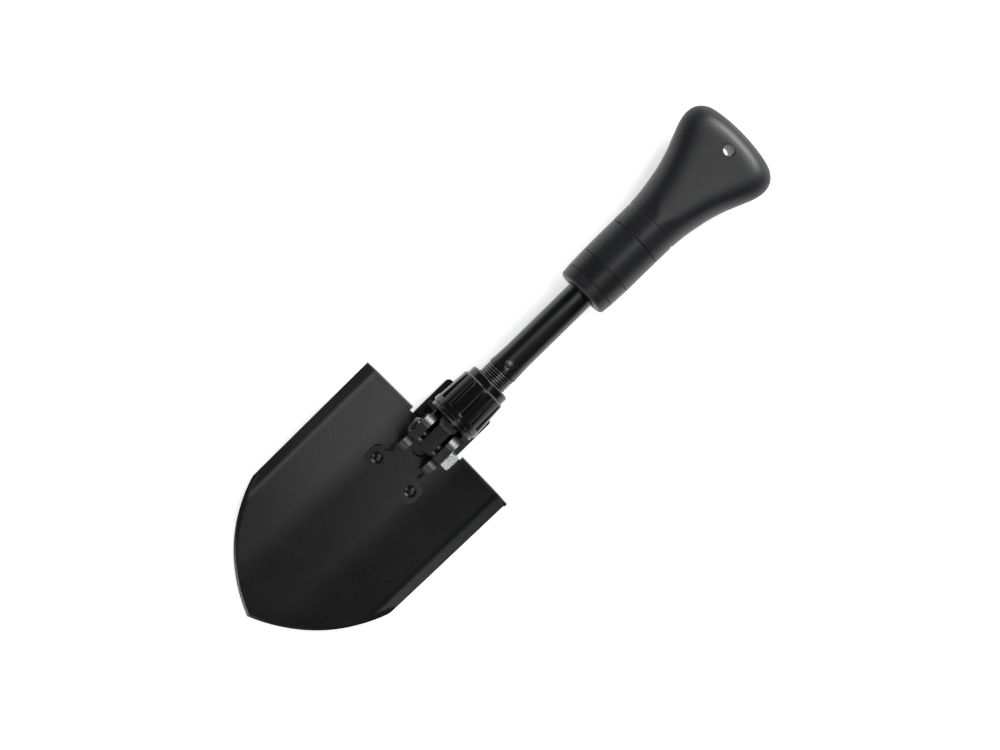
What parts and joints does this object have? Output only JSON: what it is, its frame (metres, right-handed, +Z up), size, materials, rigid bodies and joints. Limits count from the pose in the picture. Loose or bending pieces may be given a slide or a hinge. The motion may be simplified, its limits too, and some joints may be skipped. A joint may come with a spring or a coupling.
{
  "type": "folding camp shovel",
  "caption": "Folding shovel with a pointed steel blade, hammer head, threaded locking collar, telescoping shaft and flared handle with a lanyard hole.",
  "frame": {"origin": "on the ground under the middle of the bounding box, shovel lying face up", "axes": "+X from the blade tip to the pommel, +Z up out of the front of the blade, +Y along the pivot bolt towards its head"},
  "size_m": [0.423, 0.1202, 0.0458],
  "materials": {
    "blade_coat": "satin black powder coat on steel",
    "dark_steel": "black oxide",
    "collar_black": "gloss black anodised",
    "zinc": "bright zinc plated",
    "plain_steel": "bare spring steel",
    "handle_nylon": "fine grained satin black",
    "band_nylon": "satin black",
    "seal_rubber": "matte"
  },
  "bodies": {
    "shaft": {"tongue": "dark_steel", "pivot_bushes": "dark_steel", "shaft_tube": "dark_steel", "tongue_pin": "plain_steel", "stop_bush": "band_nylon", "stop_pin": "plain_steel"},
    "blade_head": {"blade": "blade_coat", "front_bracket": "blade_coat", "hammer_yoke": "blade_coat", "blade_rivets": "blade_coat", "pivot_bolt": "dark_steel", "pivot_washer": "zinc", "pivot_nut": "zinc"},
    "lock_slide": {"lock_ring": "dark_steel", "thrust_washer": "dark_steel", "retaining_ring": "plain_steel"},
    "collar": {"locking_collar": "collar_black", "collar_core": "collar_black"},
    "handle": {"grip": "handle_nylon", "collet": "band_nylon", "grit_seal": "seal_rubber"},
    "twist_nut": {"twist_collar": "handle_nylon", "band_ring": "band_nylon", "end_cap": "handle_nylon", "wiper_seal": "seal_rubber"}
  },
  "joints": [
    {"name": "blade_fold", "type": "hinge", "parent": "shaft", "child": "blade_head", "pos_m": [-0.0526, 0, 0.02924], "axis": [0, 1, 0], "range_deg": [0, 180]},
    {"name": "lock_slide", "type": "slide", "parent": "shaft", "child": "lock_slide", "axis": [0.9987, 0, -0.0505], "range_m": [-0.0008, 0.004]},
    {"name": "collar_turn", "type": "hinge", "parent": "lock_slide", "child": "collar", "pos_m": [-0.02264, 0, 0.02772], "axis": [0.9987, 0, -0.0505], "range_deg": [-180, 900]},
    {"name": "handle_slide", "type": "slide", "parent": "shaft", "child": "handle", "axis": [-0.9987, 0, 0.0505], "range_m": [0, 0.0707]},
    {"name": "twist_lock", "type": "hinge", "parent": "handle", "child": "twist_nut", "pos_m": [0.09721, 0, 0.02166], "axis": [0.9987, 0, -0.0505], "range_deg": [0, 90]}
  ],
  "couplings": [
    {"joint": "collar_turn", "follows": "lock_slide", "rad_per_m": 3927}
  ]
}
